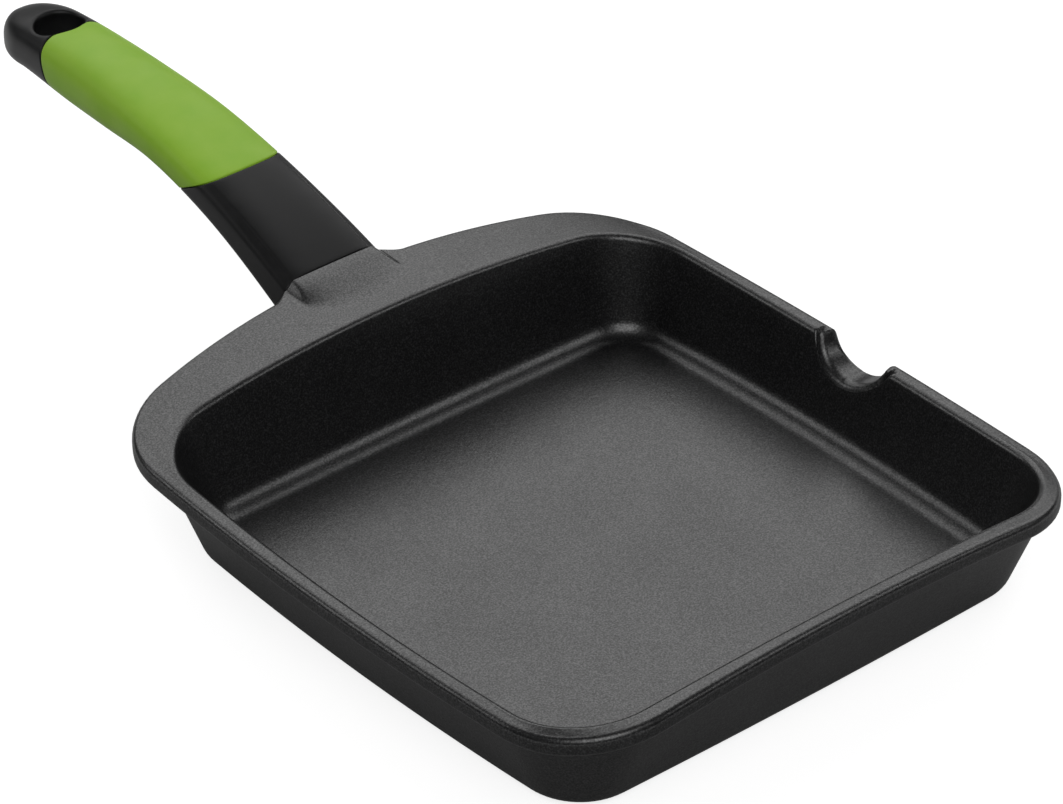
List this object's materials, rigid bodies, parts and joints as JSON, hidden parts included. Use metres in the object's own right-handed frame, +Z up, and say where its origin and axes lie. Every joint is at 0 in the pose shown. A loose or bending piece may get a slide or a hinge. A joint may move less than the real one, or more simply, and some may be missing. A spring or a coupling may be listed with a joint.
{
  "type": "griddle pan",
  "caption": "Square cast griddle pan with drafted walls, an arched rim, a pouring notch, a wide flange and a fixed handle with a soft sleeve and a hanging hole.",
  "frame": {"origin": "middle of the pan's underside, on the face that it stands on", "axes": "+Z up, +Y along the handle away from the pan, +X towards the pouring notch"},
  "size_m": [0.2218, 0.4197, 0.0738],
  "materials": {
    "coated_aluminium": "dark grey speckled non-stick coating, satin",
    "stainless_disc": "fine turned",
    "phenolic": "black, satin moulded",
    "silicone": "lime green, soft matt",
    "zinc_steel": "zinc plated"
  },
  "bodies": {
    "root": {"pan_body": "coated_aluminium", "induction_disc": "stainless_disc", "handle_core": "phenolic", "grip_sleeve": "silicone", "handle_screw": "zinc_steel", "spring_washer": "zinc_steel"}
  },
  "joints": []
}
